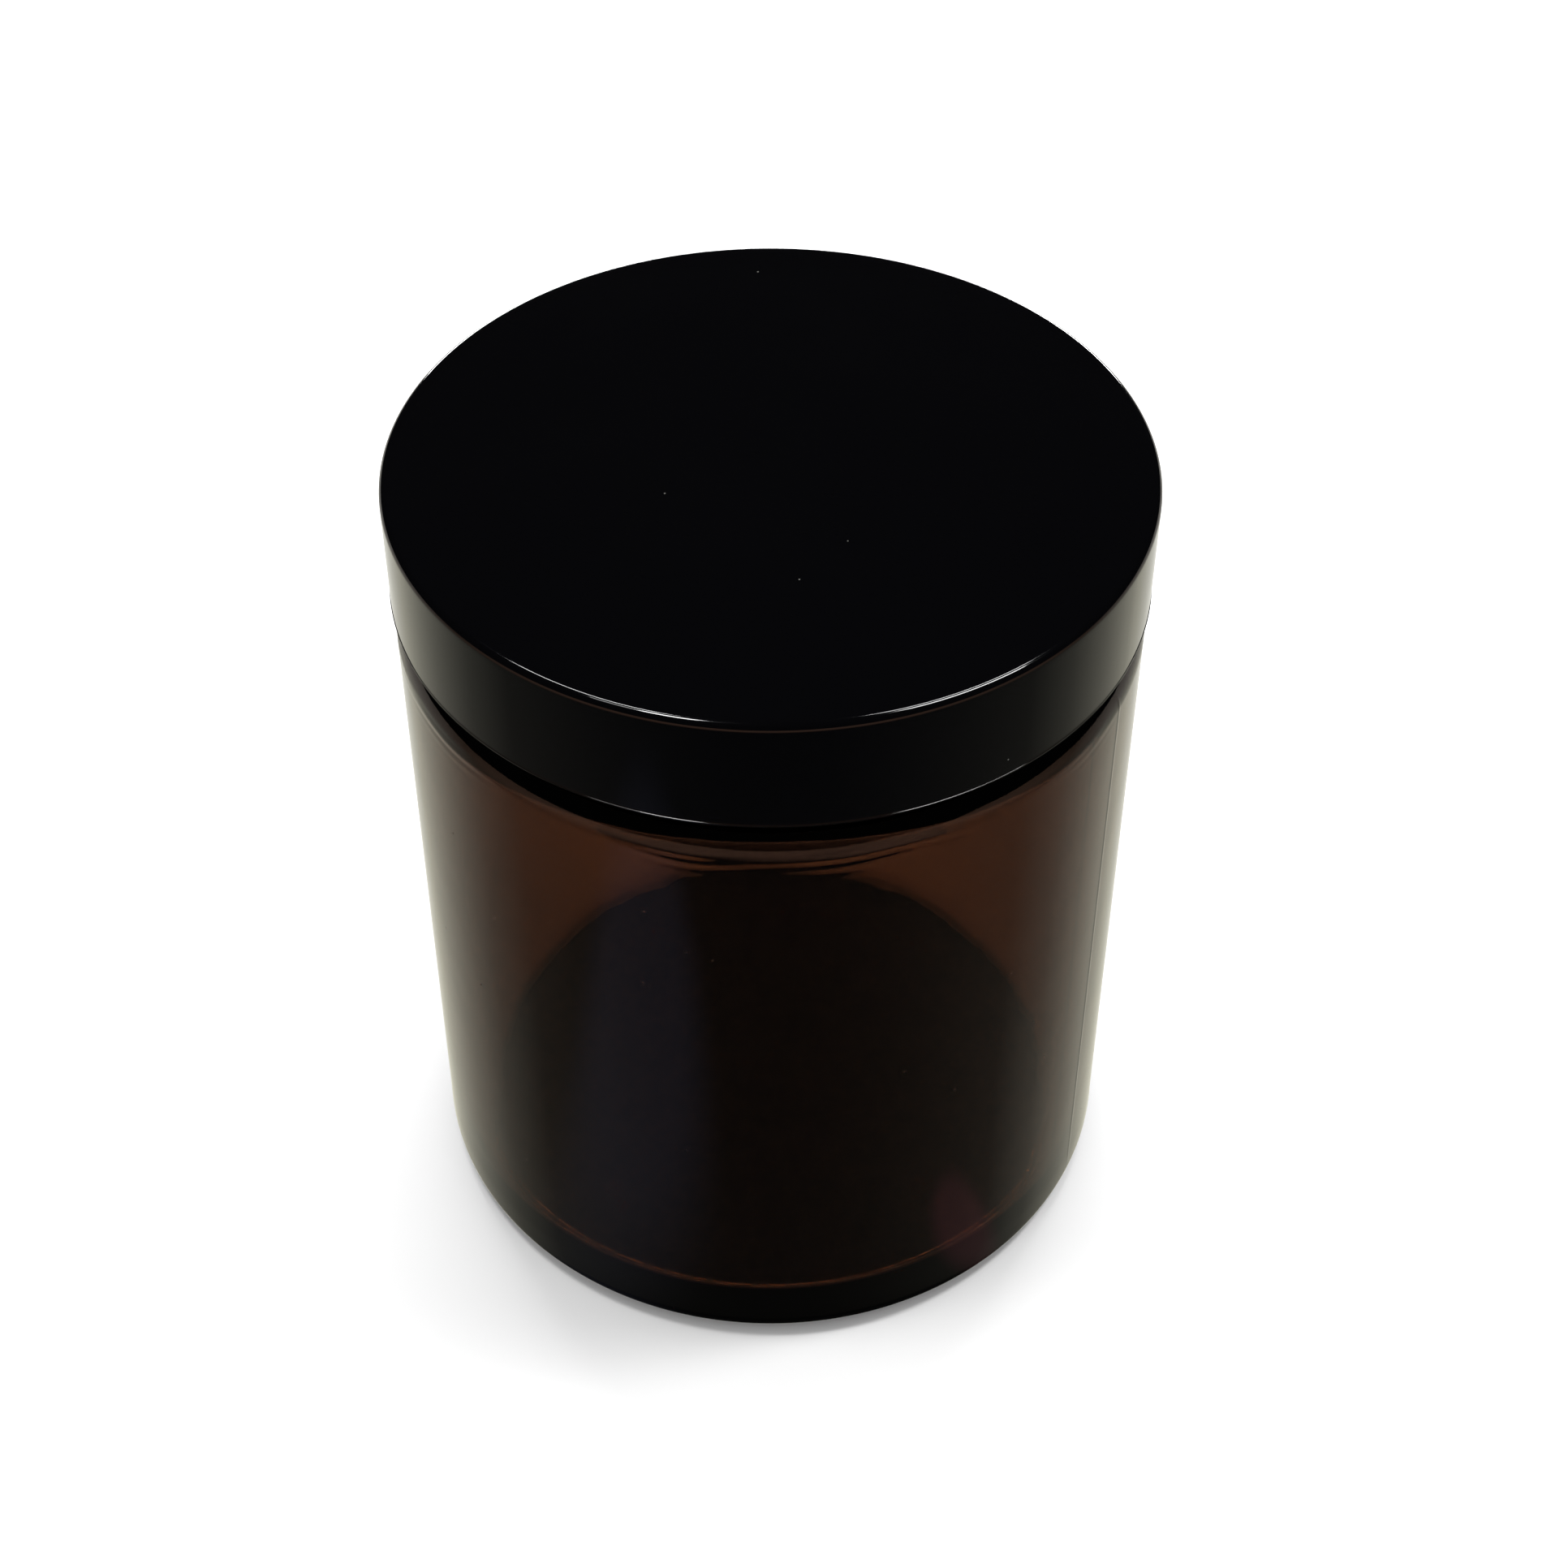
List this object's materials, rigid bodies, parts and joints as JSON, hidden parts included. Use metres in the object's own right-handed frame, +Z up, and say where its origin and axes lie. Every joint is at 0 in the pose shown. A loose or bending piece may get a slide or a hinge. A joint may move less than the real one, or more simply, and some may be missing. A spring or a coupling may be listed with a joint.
{
  "type": "cosmetic cream jar",
  "caption": "Straight-sided amber glass jar with a wide screw neck, a smooth flat black screw cap and a foam liner in the cap, for creams and balms.",
  "frame": {"origin": "centre of the jar's resting face, on its axis", "axes": "+Z up along the jar's axis to the cap, -Y towards the front, +X to the right seen from the front"},
  "size_m": [0.0726, 0.0726, 0.087],
  "materials": {
    "amber_glass": "fire-polished pressed and blown glass, dark amber, smooth with slight waves, a mould seam down two sides",
    "black_polypropylene": "injection moulded, polished gloss black",
    "white_foam": "fine closed-cell polyethylene foam between two smooth skins"
  },
  "bodies": {
    "jar": {"jar_body": "amber_glass"},
    "liner": {"cap_liner": "white_foam"},
    "cap": {"cap_shell": "black_polypropylene"}
  },
  "joints": [
    {"name": "cap_rise", "type": "slide", "parent": "jar", "child": "liner", "axis": [0, 0, 1], "range_m": [0, 0.0128]},
    {"name": "cap_turn", "type": "hinge", "parent": "liner", "child": "cap", "pos_m": [0, 0, 0.075], "axis": [0, 0, 1], "range_deg": [0, 1080]}
  ],
  "couplings": [
    {"joint": "cap_rise", "follows": "cap_turn", "m_per_rad": 0.00067376}
  ]
}
